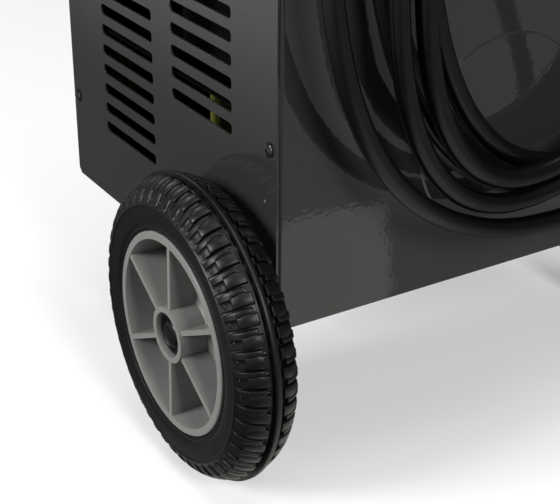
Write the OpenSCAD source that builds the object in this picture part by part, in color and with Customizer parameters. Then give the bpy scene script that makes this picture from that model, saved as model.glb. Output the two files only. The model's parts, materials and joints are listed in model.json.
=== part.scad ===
// Trolley air blower for drying cars: a sheet steel cabinet on two wheels, with two fans that
// draw air through pleated filters, and a heavy supply cable looped over a saddle at the back.
// X is across (right side positive), Y is front to back (back positive), Z is up.
// The origin is on the floor, under the middle of the machine. All lengths are in millimetres.

/* [Cabinet] */
// Width of the cabinet, side to side
cabinet_w = 350; // [330:5:420]
// Depth of the cabinet, front to back
cabinet_d = 300; // [280:5:360]
// Height of the cabinet, without the wheels
cabinet_h = 500; // [490:5:600]
// Thickness of the sheet steel
sheet = 1.5; // [1:0.1:2]
// Depth of the flanges folded inwards behind the panels
flange = 18; // [16:1:24]
// Height of the lid's skirt
lid_skirt = 24; // [20:1:36]
// Outside radius of the folded edges
fold_r = 3; // [2.5:0.5:5]
// Size of the corners cut off the side panels
corner_cut = 4; // [1:0.5:8]

/* [Louvres] */
// Length of one slot
slot_l = 80; // [50:1:90]
// Height of one slot
slot_h = 8; // [4:0.5:10]
// Corner radius of one slot
slot_corner = 3; // [0.5:0.25:1.9]
// Distance from one row of slots to the next
slot_pitch = 15; // [12:0.5:17]
// Number of rows in the front column
slot_rows = 14; // [6:1:20]
// Rows left out at the bottom of the rear column, beside the wheel
rows_left_out = 4; // [0:1:5]
// Width of the plain strip between the two columns
column_gap = 28; // [15:1:40]
// How far the pair of columns sits behind the middle of the panel
column_shift = 2.5; // [-5:0.5:8]
// Height of the lowest slot above the cabinet's bottom edge
slot_low = 55; // [40:1:80]

/* [Rear panel] */
// Radius of the round boss pressed into the panel
boss_r = 68; // [40:1:80]
// Height of the centre of the boss above the cabinet's bottom edge
boss_z = 101; // [90:1:120]
// How far the boss stands out
boss_h = 1.2; // [0.4:0.1:1.4]

/* [Wheels] */
// Diameter of the tyre, over its middle rib
tyre_d = 212; // [206:1:216]
// Width of the tyre
tyre_w = 41.4; // [39:0.2:46]
// Gap between the tyre and the cabinet's side
wheel_gap = 7.1; // [3:0.1:12]
// Distance of the axle in front of the cabinet's back
axle_inset = 54; // [45:1:70]
// Distance of the axle below the cabinet's bottom edge
axle_drop = 14; // [12:1:20]
// Diameter of the axle
axle_d = 16; // [12:1:18]
// Outside diameter of the rim
rim_d = 138.4; // [132:0.2:144]
// Number of lugs on each half of the tread
lugs = 49; // [30:1:56]
// Depth of the grooves between the lugs
groove_deep = 4; // [2:0.1:5]
// Number of spokes
spokes = 6; // [3:1:8]
// Thickness of one spoke
spoke_t = 3.4; // [2:0.2:6]

/* [Front legs] */
// Distance of each leg from the cabinet's side
leg_in = 50; // [30:1:80]
// Distance of the legs behind the cabinet's front
leg_inset = 30; // [24:1:50]
// Width of the leg's strip
leg_w = 34; // [30:1:40]
// Thickness of the leg's strip
leg_t = 4; // [3:0.5:6]
// Height of the rubber foot under the leg
foot_h = 9; // [6:0.5:14]

/* [Handle] */
// Height of the handle above the floor
handle_top = 905; // [850:5:1000]
// Outside diameter of the handle's tube
handle_d = 25; // [22:1:28]
// Wall of the tube
handle_wall = 1.5; // [1:0.1:2]
// Radius of the tube's bends, at its middle
bend_r = 60; // [45:1:90]
// Distance of the handle in front of the cabinet's back
handle_inset = 42; // [30:1:60]
// Length of the tube beside the cabinet
handle_low = 176; // [150:1:240]
// Length of the rubber grip
grip_l = 190; // [120:1:230]

/* [Supply cable] */
// Diameter of the supply cable
cable_d = 13.5; // [13:0.1:13.8]
// Distance of the gland to the left of the middle
gland_x = 62; // [58:0.5:66]
// Radius of the saddle that the loops hang on
saddle_r = 46; // [36:1:50]
// Height of the lip that keeps the loops on the saddle
lip_h = 36; // [16:1:40]

/* [Air path] */
// Diameter of the fan's round case
fan_d = 145; // [130:1:146]
// Height of the fan's case
fan_h = 74; // [64:1:80]
// Diameter of the fan wheel
wheel_d = 128; // [100:1:132]
// Number of blades on the fan wheel
blades = 11; // [7:1:13]
// Diameter of the motor's shell
motor_d = 92; // [80:1:100]
// Height of the motor's shell
motor_h = 92; // [84:1:120]
// Outside diameter of the pleated filter
filter_d = 109; // [96:1:116]
// Height of the pleats
filter_h = 98; // [70:1:108]
// Number of pleats round one filter
pleats = 44; // [24:1:60]
// Outside diameter of the hose spigot
spigot_d = 50.8; // [45:0.1:56]
// Length that the spigot stands out of the front
spigot_l = 47.5; // [30:0.5:60]

/* [Controls] */
// Width of the control plate
plate_w = 132; // [124:1:160]
// Height of the control plate
plate_h = 62; // [54:1:80]
// How far a rocker turns from one end to the other
rocker_turn = 20; // [10:1:24]
// How far the reset button can be pressed
button_travel = 3; // [1:0.5:3]

/* [Hidden] */

$fn = 64;
// Gap between folded parts that lie side by side
fit = 0.3;
// Radial gap between a shaft and what it turns in
run = 0.05;
// Gap between parts that are seated on each other
seat = 0.05;
// A cutter's reach past the face it opens
past = 1;

grey_steel = [0.22, 0.225, 0.22];
black_steel = [0.1, 0.1, 0.1];
zinc = [0.72, 0.73, 0.74];
alloy = [0.78, 0.78, 0.8];
rubber = [0.07, 0.07, 0.07];
grey_plastic = [0.42, 0.43, 0.41];
black_plastic = [0.05, 0.05, 0.05];
filter_paper = [0.72, 0.74, 0.28];

half_w = cabinet_w / 2;
half_d = cabinet_d / 2;
axle_z = tyre_d / 2;
axle_y = half_d - axle_inset;
bottom_z = axle_z + axle_drop;
top_z = bottom_z + cabinet_h;
// The upright panels end just under the lid's top
panel_top = top_z - sheet - fit;
panel_h = panel_top - bottom_z;
// Half width over the flanges of the front and rear panels, inside the side panels
inner_w = half_w - sheet - fit;

// Filter caps, the shelf above them, and the fans' outlets
filter_cap_h = 12;
filter_low = bottom_z + sheet + 8;
deck_z = filter_low + filter_h + 2 * filter_cap_h + seat + sheet;
horn_z = deck_z + fan_h / 2;
spigot_z = horn_z;
spigot_bolt_r = spigot_d / 2 + 10;
front_plate_t = 2.5;
plate_z = top_z - lid_skirt - plate_h / 2 - 20;

// Cable gland, with its heights above the cabinet's bottom edge
gland_h = 215;
gland_z = bottom_z + gland_h;
gland_r = 12.5;
nut_flat = 30;
gland_hex = 8;
gland_dome = 10;
relief_l = 16;
gland_reach = gland_hex + gland_dome + relief_l;

// ---------------------------------------------------------------- sheet metal

// Places a flat outline drawn in Y and Z so that it is one sheet thick from x outwards
module upright(x, thick = sheet)
    translate([x, 0, 0]) rotate([90, 0, 90]) linear_extrude(thick) children();

// Places a flat outline drawn in X and Z so that it runs from y to y + thick
module facing(y, thick = sheet)
    translate([0, y + thick, 0]) rotate([90, 0, 0]) linear_extrude(thick) children();

module rounded(w, h, r) {
    square([w - 2 * r, h], center = true);
    square([w, h - 2 * r], center = true);
    for (x = [-1, 1], y = [-1, 1]) translate([x * (w / 2 - r), y * (h / 2 - r)]) circle(r);
}

// Outline of a panel with its two side flanges, open towards -Y
module channel(w, d, t, r) {
    module block(bw, bd, br) {
        translate([-bw / 2, -d]) square([bw, d - (d - bd) - br]);
        translate([br - bw / 2, -d]) square([bw - 2 * br, bd]);
        for (s = [-1, 1]) translate([s * (bw / 2 - br), bd - d - br]) circle(br);
    }
    difference() {
        block(w, d, r);
        translate([0, -past]) block(w - 2 * t, d - t + past, r - t);
    }
}

function screw_rows(low) = [low, low + (cabinet_h - low - 45) / 2, cabinet_h - 45];
screw_in = 8;
screw_head_r = 4.6;
screw_head_h = 2.8;
screw_r = 2;
// Side panel screws, as distance from the middle and height above the bottom edge
side_screws = concat([for (z = screw_rows(67)) [screw_in - half_d, z]],
    [for (z = screw_rows(122)) [half_d - screw_in, z]]);
rivet_at = [half_d - 14, 85];
lid_screw_x = half_w - 45;
lid_screw_z = top_z - lid_skirt / 2;

module louvres() {
    middle = (slot_l + column_gap) / 2;
    for (row = [0 : slot_rows - 1]) translate([0, slot_low + slot_h / 2 + row * slot_pitch]) {
        translate([column_shift - middle, 0]) rounded(slot_l, slot_h, slot_corner);
        if (row >= rows_left_out) translate([column_shift + middle, 0])
            rounded(slot_l, slot_h, slot_corner);
    }
}

module side_outline() {
    difference() {
        polygon([[corner_cut - half_d, 0], [half_d - corner_cut, 0], [half_d, corner_cut],
            [half_d, panel_h], [-half_d, panel_h], [-half_d, corner_cut]]);
        louvres();
        for (p = side_screws) translate(p) circle(screw_r + fit);
        translate(rivet_at) circle(rivet_r + seat);
        for (z = handle_bolt_rows) translate([handle_y, z - bottom_z]) circle(handle_bolt_r + fit);
    }
}

module right_side_panel() color(grey_steel)
    translate([0, 0, bottom_z]) upright(half_w - sheet) side_outline();

module left_side_panel() color(grey_steel)
    translate([0, 0, bottom_z]) upright(-half_w) side_outline();

// Holes through the flanges that the side panels are screwed to
module flange_holes(points)
    for (p = points, s = [-1, 1]) translate([s * (inner_w - sheet / 2), p[0], bottom_z + p[1]])
        rotate([0, 90, 0]) cylinder(r = screw_r + seat, h = sheet + 2 * past, center = true);

module rear_panel() color(grey_steel) difference() {
    union() {
        translate([0, half_d, bottom_z]) linear_extrude(panel_h)
            channel(2 * inner_w, flange, sheet, fold_r);
        translate([0, half_d, bottom_z + boss_z]) rotate([-90, 0, 0])
            cylinder(r1 = boss_r, r2 = boss_r - boss_h, h = boss_h);
    }
    translate([0, half_d - sheet, bottom_z + boss_z]) rotate([-90, 0, 0])
        cylinder(r1 = boss_r - boss_h / 2, r2 = boss_r - 1.5 * boss_h, h = boss_h);
    flange_holes([for (p = side_screws) if (p[0] > 0) p]);
    for (s = [-1, 1]) translate([s * (inner_w - sheet / 2), rivet_at[0], bottom_z + rivet_at[1]])
        rotate([0, 90, 0]) cylinder(r = rivet_r + seat, h = sheet + 2 * past, center = true);
    translate([-gland_x, half_d - sheet - past, gland_z]) rotate([-90, 0, 0])
        cylinder(r = gland_r + seat, h = sheet + 2 * past);
    for (p = saddle_screws) translate([p[0], half_d - sheet - past, p[1]]) rotate([-90, 0, 0])
        cylinder(r = screw_r + seat, h = sheet + 2 * past);
    lid_holes(1, screw_r + seat);
}

// Holes for the lid's screws, at the back (side = 1) or the front (side = -1)
module lid_holes(side, r)
    for (s = [-1, 1]) translate([s * lid_screw_x, side * half_d, lid_screw_z]) rotate([90, 0, 0])
        cylinder(r = r, h = 4 * sheet + 2 * past, center = true);

module front_panel() color(grey_steel) difference() {
    rotate([0, 0, 180]) translate([0, half_d, bottom_z]) linear_extrude(panel_h)
        channel(2 * inner_w, flange, sheet, fold_r);
    flange_holes([for (p = side_screws) if (p[0] < 0) p]);
    facing(-half_d - past, sheet + 2 * past) {
        translate([0, plate_z]) rounded(plate_w - 12, plate_h - 12, 3);
        translate([0, spigot_z]) circle(spigot_d / 2 + fit);
        for (p = front_screws) translate(p) circle(screw_r + seat);
    }
    lid_holes(-1, screw_r + seat);
}

module top_cover() color(grey_steel) {
    w = cabinet_w + 2 * (sheet + fit);
    d = cabinet_d + 2 * (sheet + fit);
    difference() {
        intersection() {
            translate([0, 0, top_z - lid_skirt]) linear_extrude(lid_skirt) rounded(w, d, fold_r);
            translate([0, 0, top_z - w / 2]) facing(-d, 2 * d) rounded(w, w, fold_r);
            translate([0, 0, top_z - d / 2]) upright(-w, 2 * w) rounded(d, d, fold_r);
        }
        translate([-half_w - fit, -half_d - fit, top_z - lid_skirt - past])
            cube([cabinet_w + 2 * fit, cabinet_d + 2 * fit, lid_skirt + past - sheet]);
        for (side = [-1, 1]) lid_holes(side, screw_r + fit);
    }
}

module base_pan() color(black_steel) {
    w = 2 * (inner_w - sheet - seat);
    d = 2 * (half_d - sheet - seat);
    fold_h = 16;
    translate([0, 0, bottom_z]) difference() {
        linear_extrude(fold_h) rounded(w, d, fold_r);
        translate([0, 0, sheet]) linear_extrude(fold_h)
            rounded(w - 2 * sheet, d - 2 * sheet, fold_r - sheet / 2);
        for (s = [-1, 1], y = leg_bolts_y) translate([s * leg_x, y, -past])
            cylinder(r = frame_bolt_r + seat, h = sheet + 2 * past);
        for (s = [-1, 1], y = bracket_bolts_y) translate([s * bracket_bolt_x, y, -past])
            cylinder(r = frame_bolt_r + seat, h = sheet + 2 * past);
    }
}

// ---------------------------------------------------------------- fasteners

// A pan head screw whose head stands on the plane z = 0
module pan_screw(length) {
    rotate_extrude() intersection() {
        translate([0, -1.2 * screw_head_r]) circle(1.2 * screw_head_r + screw_head_h);
        square([screw_head_r, screw_head_h]);
    }
    translate([0, 0, -length]) cylinder(r = screw_r, h = length);
}

front_screws = concat(
    [for (x = [-1, 1], z = [-1, 1]) [x * (plate_w / 2 - 5), plate_z + z * (plate_h / 2 - 5)]],
    [for (a = [45 : 90 : 359]) spigot_bolt_r * [cos(a), sin(a)] + [0, spigot_z]]);

module panel_screws() color(black_plastic) {
    grip = 7;
    for (p = side_screws, s = [-1, 1]) translate([s * half_w, p[0], bottom_z + p[1]])
        rotate([0, s * 90, 0]) pan_screw(grip);
    for (s = [-1, 1], side = [-1, 1])
        translate([s * lid_screw_x, side * (half_d + sheet + fit), lid_screw_z])
            rotate([-side * 90, 0, 0]) pan_screw(grip);
    for (p = saddle_screws) translate([p[0], half_d + saddle_t, p[1]])
        rotate([-90, 0, 0]) pan_screw(grip);
    for (p = front_screws) translate([p[0], -half_d - front_plate_t, p[1]])
        rotate([90, 0, 0]) pan_screw(grip);
}

rivet_r = 1.6;

module corner_rivets() color(zinc)
    for (s = [-1, 1]) translate([s * half_w, rivet_at[0], bottom_z + rivet_at[1]])
        rotate([0, s * 90, 0]) {
            rotate_extrude() intersection() {
                translate([0, -2]) circle(3);
                square([2.3, 1]);
            }
            translate([0, 0, -5]) cylinder(r = rivet_r, h = 5);
        }

// ---------------------------------------------------------------- running gear

wheel_x = half_w + wheel_gap + tyre_w / 2;
rim_r = rim_d / 2;
rim_out = tyre_w / 2;
rim_in = tyre_w / 2 - 1.5;
hub_r = 19.2;
hub_out = rim_out + 1.5;
// Where the rim's web meets the hub, from the middle of the tyre
web_z = -3.8;
hub_in = tyre_w / 2 - 1;
cap_r = 14.6;
cap_hole_r = 15.4;
cap_deep = 9;
bush_r = axle_d / 2 + 3;
bracket_t = 5;
bracket_x = half_w - 34;
hub_floor = hub_out - cap_deep;
// Height of the cap at its edge and in the middle, and its dome's centre below its base
cap_h_edge = 2;
cap_h_mid = 8;
dome_low = (cap_r * cap_r + cap_h_edge * cap_h_edge - cap_h_mid * cap_h_mid)
    / (2 * (cap_h_mid - cap_h_edge));

// Turns a wheel part, drawn about Z with its outside up, into place on one side
module at_wheel(side) translate([side * wheel_x, axle_y, axle_z]) rotate([0, side * 90, 0])
    rotate([0, 0, side * 90]) children();

// The tread is nearly flat across and turns down over rounded shoulders
crown_r = 150;
shoulder_r = 15.6;
crown_top = axle_z - 0.6;
shoulder_x = tyre_w / 2 - shoulder_r;
shoulder_z = crown_top - crown_r + sqrt(pow(crown_r - shoulder_r, 2) - pow(shoulder_x, 2));
rib_w = 4.8;
channel_w = 3;
groove_w = 2.2;
// The grooves run out over the shoulders down to this radius
lug_low = rim_r + 15;
// Where round the tyre the outer half's grooves start, and the inner half's
lug_turn = [5.2, 3.9];

module carcass() rotate_extrude() {
    intersection() {
        translate([crown_top - crown_r, 0]) circle(crown_r, $fn = 720);
        translate([shoulder_z, -shoulder_x]) square([2 * shoulder_r, 2 * shoulder_x]);
    }
    for (s = [-1, 1]) translate([shoulder_z, s * shoulder_x]) circle(shoulder_r);
    polygon([[rim_r + seat, 1.5 - tyre_w / 2], [rim_r + 5, 0.6 - tyre_w / 2],
        [shoulder_z, -tyre_w / 2], [shoulder_z, tyre_w / 2], [rim_r + 5, tyre_w / 2 - 0.6],
        [rim_r + seat, tyre_w / 2 - 1.5]]);
}

// What the grooves of one half are cut from: a ring that ends where the sidewall starts
module groove_ring(floor_r, start) rotate_extrude() polygon([[crown_top + past, start],
    [floor_r, start], [floor_r - 0.8, 10], [floor_r - 4.5, 15], [lug_low + 3, tyre_w / 2 - 2],
    [lug_low - 2, tyre_w / 2 + 0.8], [crown_top + past, tyre_w / 2 + 0.8]]);

module tyre_body() {
    floor_r = crown_top - groove_deep;
    difference() {
        carcass();
        for (half = [0, 1]) mirror([0, 0, half]) {
            rotate_extrude() translate([floor_r - 0.6, rib_w / 2]) square([3 * groove_deep, channel_w]);
            intersection() {
                groove_ring(floor_r, (rib_w + channel_w) / 2);
                for (i = [0 : lugs - 1]) rotate([0, 0, lug_turn[half] + i * 360 / lugs])
                    translate([lug_low - 4, -groove_w / 2, 0]) cube([40, groove_w, tyre_w]);
            }
        }
    }
    rotate_extrude() translate([floor_r - past, -rib_w / 2])
        square([axle_z - floor_r + past, rib_w]);
}

module right_tyre() color(rubber) at_wheel(1) tyre_body();

module left_tyre() color(rubber) at_wheel(-1) tyre_body();

module rim_body() difference() {
    union() {
        // Barrel with its outer lip
        rotate_extrude() polygon([[rim_r - 5.2, rim_out], [rim_r - 0.6, rim_out],
            [rim_r, rim_out - 0.8], [rim_r, -rim_in], [rim_r - 4, -rim_in], [rim_r - 5.6, web_z - 5],
            [rim_r - 6, web_z + 3]]);
        // Dished web between hub and barrel
        rotate_extrude() translate([0, web_z]) polygon([[hub_r - 3, 0], [rim_r - 12, -5],
            [rim_r - 4.5, -8], [rim_r - 4.5, -2], [rim_r - 11, 0.5], [hub_r + 3, 4.5],
            [hub_r - 3, 7]]);
        translate([0, 0, -hub_in]) cylinder(r = hub_r, h = hub_in + hub_out);
        for (i = [0 : spokes - 1]) rotate([0, 0, 28 + i * 360 / spokes]) {
            translate([hub_r - 2, -spoke_t / 2, web_z - 1])
                cube([rim_r - 2.9 - hub_r, spoke_t, rim_out - web_z + 0.6]);
            translate([hub_r - 2, -spoke_t / 2, -rim_in + 4])
                cube([rim_r - 1 - hub_r, spoke_t, rim_in + web_z - 1.4]);
        }
    }
    translate([0, 0, hub_out - cap_deep]) cylinder(r = cap_hole_r, h = cap_deep + past);
    translate([0, 0, -hub_in - past]) cylinder(r = bush_r + seat, h = 2 * hub_in + hub_out);
}

module right_rim() color(grey_plastic) at_wheel(1) rim_body();

module left_rim() color(grey_plastic) at_wheel(-1) rim_body();

module bush_body() translate([0, 0, -hub_in]) difference() {
    cylinder(r = bush_r, h = hub_in + hub_floor);
    translate([0, 0, -past]) cylinder(r = axle_d / 2 + run, h = hub_in + hub_out + 2 * past);
}

module right_bush() color(black_plastic) at_wheel(1) bush_body();

module left_bush() color(black_plastic) at_wheel(-1) bush_body();

axle_end = wheel_x + hub_floor + 3.5;

module axle() color(zinc) translate([-axle_end, axle_y, axle_z]) rotate([0, 90, 0])
    cylinder(d = axle_d, h = 2 * axle_end);

// Two ears that hang from the base and carry the axle
module axle_brackets() color(black_steel) for (s = [-1, 1]) difference() {
    ear_w = axle_d + 18;
    union() {
        translate([0, 0, axle_z]) upright(s * bracket_x - bracket_t / 2, bracket_t)
            intersection() {
                union() {
                    translate([axle_y, 0]) circle(d = ear_w);
                    translate([axle_y - ear_w / 2, 0]) square([ear_w, axle_drop]);
                }
                translate([axle_y - ear_w, -ear_w]) square([2 * ear_w, ear_w + axle_drop]);
            }
        translate([s * (bracket_x - 14) - 14, axle_y - ear_w / 2, bottom_z - bracket_t])
            cube([28, ear_w, bracket_t]);
    }
    translate([s * bracket_x - bracket_t, axle_y, axle_z]) rotate([0, 90, 0])
        cylinder(r = axle_d / 2 + seat, h = 2 * bracket_t);
    for (y = bracket_bolts_y) translate([s * bracket_bolt_x, y, bottom_z - 2 * bracket_t])
        cylinder(r = frame_bolt_r + seat, h = 3 * bracket_t);
}

// Distance tubes between the brackets and the hubs
module axle_spacers() color(zinc) for (s = [-1, 1]) {
    inside = bracket_x + bracket_t / 2;
    length = wheel_x - hub_in - inside - fit;
    translate([s * (inside + length / 2), axle_y, axle_z]) rotate([0, 90, 0]) difference() {
        cylinder(r = axle_d / 2 + 3, h = length, center = true);
        cylinder(r = axle_d / 2 + seat, h = length + 2 * past, center = true);
    }
}

// Domed caps pressed on the axle's ends, sunk in the hubs
module axle_caps() color(black_plastic) for (s = [-1, 1])
    translate([s * (wheel_x + hub_floor + fit), axle_y, axle_z]) rotate([0, s * 90, 0])
        difference() {
            rotate_extrude() intersection() {
                translate([0, -dome_low]) circle(dome_low + cap_h_mid);
                square([cap_r, cap_deep]);
            }
            translate([0, 0, -past]) cylinder(r = axle_d / 2 + seat, h = 3.5 - fit + seat + past);
        }

// ---------------------------------------------------------------- front legs

leg_x = half_w - leg_in;
leg_y = leg_inset - half_d;
frame_bolt_r = 3;
leg_bolts_y = [leg_y - leg_w / 4, leg_y + leg_w / 4];
bracket_bolts_y = [axle_y - 11, axle_y + 11];
bracket_bolt_x = bracket_x - 19;

module leg_body(side) difference() {
    reach = leg_w;
    union() {
        translate([leg_x - reach / 2, leg_y - leg_w / 2, bottom_z - leg_t])
            cube([reach, leg_w, leg_t]);
        translate([leg_x + reach / 2 - leg_t, leg_y - leg_w / 2, foot_h])
            cube([leg_t, leg_w, bottom_z - foot_h]);
        translate([leg_x - reach / 2, leg_y - leg_w / 2, foot_h]) cube([reach, leg_w, leg_t]);
    }
    for (y = leg_bolts_y) translate([leg_x, y, bottom_z - leg_t - past])
        cylinder(r = frame_bolt_r + seat, h = leg_t + 2 * past);
    translate([leg_x, leg_y, foot_h - past]) cylinder(r = 3 + seat, h = leg_t + 2 * past);
}

module right_leg() color(black_steel) leg_body();

module left_leg() color(black_steel) mirror([1, 0, 0]) leg_body();

module rubber_feet() color(rubber) for (s = [-1, 1]) translate([s * leg_x, leg_y, 0]) {
    cylinder(r1 = 12, r2 = 14, h = foot_h);
    cylinder(r = 3, h = foot_h + leg_t);
    translate([0, 0, foot_h + leg_t]) cylinder(r1 = 5, r2 = 3, h = 3);
}

// A bolt and its nut, with the bolt's head under a plate of thickness t
module frame_bolt(x, y, t) translate([x, y, bottom_z - t]) {
    translate([0, 0, -4]) cylinder(r = 5.5, h = 4, $fn = 6);
    cylinder(r = frame_bolt_r, h = t + sheet + 6);
    translate([0, 0, t + sheet]) cylinder(r = 5.5, h = 5, $fn = 6);
}

module frame_bolts() color(zinc) for (s = [-1, 1]) {
    for (y = leg_bolts_y) frame_bolt(s * leg_x, y, leg_t);
    for (y = bracket_bolts_y) frame_bolt(s * bracket_bolt_x, y, bracket_t);
}

// ---------------------------------------------------------------- handle

handle_y = half_d - handle_inset;
handle_x = half_w + sheet + fit + seat + handle_d / 2;
handle_end = top_z - handle_low;
handle_bolt_r = 4;
handle_bolt_rows = [handle_end + 22, top_z - lid_skirt - 22];

// The handle's line as a rod of one radius, in the plane of Y = 0
module handle_rod(r, over = 0) {
    for (s = [-1, 1]) translate([s * handle_x, 0, handle_end - over])
        cylinder(r = r, h = handle_top - bend_r - handle_end + over);
    translate([bend_r - handle_x, 0, handle_top]) rotate([0, 90, 0])
        cylinder(r = r, h = 2 * (handle_x - bend_r));
    for (s = [0, 1]) mirror([s, 0, 0]) translate([handle_x - bend_r, 0, handle_top - bend_r])
        rotate([90, 0, 0]) rotate_extrude(angle = 90) translate([bend_r, 0]) circle(r);
}

module push_handle() color(black_steel) translate([0, handle_y, 0]) difference() {
    handle_rod(handle_d / 2);
    handle_rod(handle_d / 2 - handle_wall, past);
    for (z = handle_bolt_rows) translate([0, 0, z]) rotate([0, 90, 0])
        cylinder(r = handle_bolt_r + seat, h = 2 * handle_x + 2 * handle_d, center = true);
}

module handle_grip() color(rubber) translate([0, handle_y, handle_top]) rotate([0, 90, 0])
    difference() {
        union() {
            cylinder(d = handle_d + 8, h = grip_l - 8, center = true);
            for (s = [-1, 1]) translate([0, 0, s * (grip_l / 2 - 2)])
                cylinder(d = handle_d + 12, h = 4, center = true);
        }
        cylinder(r = handle_d / 2 + seat, h = grip_l + 2 * past, center = true);
        for (i = [-6 : 6]) translate([0, 0, i * (grip_l - 30) / 13])
            rotate_extrude() translate([handle_d / 2 + 4, 0]) circle(1.2);
    }

module handle_bolts() color(zinc) for (s = [-1, 1], z = handle_bolt_rows)
    translate([s * (handle_x + handle_d / 2), handle_y, z]) rotate([0, s * 90, 0]) {
        cylinder(r = 7, h = 5, $fn = 6);
        length = handle_d + 2 * sheet + fit + seat + 6;
        translate([0, 0, -length]) cylinder(r = handle_bolt_r, h = length);
        translate([0, 0, -length]) cylinder(r = 7, h = 6 - seat, $fn = 6);
    }

// Washers that fill the gap between the tube and the side panel, level with the lid
module handle_spacers() color(black_plastic) for (s = [-1, 1], z = handle_bolt_rows)
    translate([s * half_w, handle_y, z]) rotate([0, s * 90, 0]) difference() {
        cylinder(r = 9, h = sheet + fit);
        translate([0, 0, -past]) cylinder(r = handle_bolt_r + seat, h = sheet + fit + 2 * past);
    }

module tube_plugs() color(black_plastic) for (s = [-1, 1])
    translate([s * handle_x, handle_y, handle_end]) {
        translate([0, 0, -3]) cylinder(d1 = handle_d - 3, d2 = handle_d, h = 3);
        cylinder(r = handle_d / 2 - handle_wall - seat, h = 12);
    }

// ---------------------------------------------------------------- supply cable

// Each loop hangs from the saddle as a long oval. Heights are above the cabinet's bottom edge,
// and distances back are from the rear panel's face.
loops = 5;
front_layer = 37;
back_layer = 22;
// Half width of each loop on the right
loop_right = [175, 111.5, 96, 112, 148];
// Half width of each loop on the left, on its way to the next one
loop_left = [155, 132, 87, 110, 150];
// Sideways drift of each loop's bottom, and of the tail
loop_drift = [-17, 15, 9, -39, -42, 0];
// Height of each loop's bottom, and of the tail's
loop_low = [46.5, 69, 84.5, 81, 65, 70];
// Layer that each loop hangs in
loop_layer = [front_layer, front_layer, front_layer, back_layer, back_layer, back_layer];
// How many strands lie between each loop and the saddle
loop_pile = [2, 1, 0, 0, 1];
hang_h = cabinet_h - 45;
pile_step = 14.5;
// Fullness of the oval's ends
round_end = 0.04;

function across(a) = (sin(a) + round_end * sin(3 * a)) / (1 - round_end);
function loop_top(k) = hang_h + loop_pile[k] * pile_step;
// Eases a change over the middle half of its way
function eased(s) = let (t = min(max(2 * s - 0.5, 0), 1)) t * t * (3 - 2 * t);
// Point at angle a of loop k: 0 is its bottom, 90 its right, 180 its top, 270 its left
function loop_point(k, a) =
    let (n = a <= 180 ? k : k + 1,
        high = loop_top(k),
        low = loop_low[n],
        z = (high + low) / 2 - (high - low) / 2 * cos(a),
        wide = a <= 180 ? loop_right[k] : loop_left[k],
        mix = a <= 180 ? 0 : eased((a - 180) / 180))
    [loop_drift[n] * (high - z) / (high - low) + wide * across(a),
        half_d + loop_layer[k] + mix * (loop_layer[n] - loop_layer[k]),
        bottom_z + z];
// The whole coil, from the bottom of the first loop to the left of the last one
function coil_line(step) = concat(
    [for (k = [0 : loops - 2], a = [0 : step : 359.9]) loop_point(k, a)],
    [for (a = [0 : step : 270.1]) loop_point(loops - 1, a)]);
coil = coil_line(15);
coil_start = coil[0];
coil_end = coil[len(coil) - 1];
coil_path = concat([coil_start - [cable_d, 0, 0]], coil, [coil_end - [0, 0, cable_d]]);

// Routes from the rear panel's face: sideways, back, and up from the bottom edge
lead_route = [[-62, 47, 215], [-62, 62, 213], [-64, 79, 205], [-68, 91, 191], [-73, 97, 173],
    [-80, 99, 152], [-88, 97, 131], [-94, 93, 110], [-96, 87, 90], [-92, 78, 72],
    [-82, 66, 58], [-68, 54, 50], [-55, 43, 46.8], [-43, 37, 46.5]];
tail_route = [[-150, 22, 238], [-150, 23.5, 214], [-149.5, 26.5, 190], [-148.5, 30, 166],
    [-147, 33, 144], [-146, 34, 126], [-146, 34, 112]];
function at_back(p) = [p[0], half_d + p[1], bottom_z + p[2]];

// A cord of diameter d swept along its points, with n sides
function unit(v) = v / norm(v);
function headings(p) = [for (i = [0 : len(p) - 1])
    unit((i == 0 ? [0, 0, 0] : unit(p[i] - p[i - 1]))
        + (i == len(p) - 1 ? [0, 0, 0] : unit(p[i + 1] - p[i])))];
function square_to(v, t) = unit(v - (v * t) * t);
function carried(t, first, i = 0) = i >= len(t) ? [] :
    let (v = square_to(first, t[i])) concat([v], carried(t, v, i + 1));

module cord(p, d, n, first) {
    t = headings(p);
    u = carried(t, first);
    last = len(p) - 1;
    points = [for (i = [0 : last], j = [0 : n - 1]) let (a = 360 * j / n)
        p[i] + d / 2 * (cos(a) * u[i] + sin(a) * cross(t[i], u[i]))];
    faces = concat(
        [for (i = [0 : last - 1], j = [0 : n - 1]) let (k = (j + 1) % n)
            [i * n + j, (i + 1) * n + j, i * n + k]],
        [for (i = [0 : last - 1], j = [0 : n - 1]) let (k = (j + 1) % n)
            [i * n + k, (i + 1) * n + j, (i + 1) * n + k]],
        [for (j = [1 : n - 2]) [0, j, j + 1]],
        [for (j = [1 : n - 2]) [last * n, last * n + j + 1, last * n + j]]);
    polyhedron(points, faces);
}

function path_length(p, i = 1) = i >= len(p) ? 0 : norm(p[i] - p[i - 1]) + path_length(p, i + 1);
// Least gap of the coil to itself, over pairs of points that are not neighbours on the cord
fine = coil_line(5);
apart = 20;
coil_gap = min([for (i = [0 : len(fine) - apart - 1]) min([for (j = [i + apart : len(fine) - 1])
    norm(fine[i] - fine[j])])]) - cable_d;
lead_path = concat([at_back([-gland_x, gland_reach, gland_h])],
    [for (i = [0 : len(lead_route) - 1]) at_back(lead_route[i])], [coil_path[0]]);
tail_path = concat([coil_path[len(coil_path) - 1]],
    [for (p = tail_route) at_back(p)]);
echo("least gap of the coil to itself", coil_gap);
echo("length of the coil, the lead and the tail", path_length(coil_path), path_length(lead_path),
    path_length(tail_path));

module cable_loops() color(rubber) cord(coil_path, cable_d, 6, [0, 1, 0]);

module cable_lead() color(rubber) cord(lead_path, cable_d, 8, [0, 0, 1]);

module cable_tail() color(rubber) cord(tail_path, cable_d, 8, [0, 1, 0]);

lead_hole = cable_d / 2 + seat;

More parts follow.
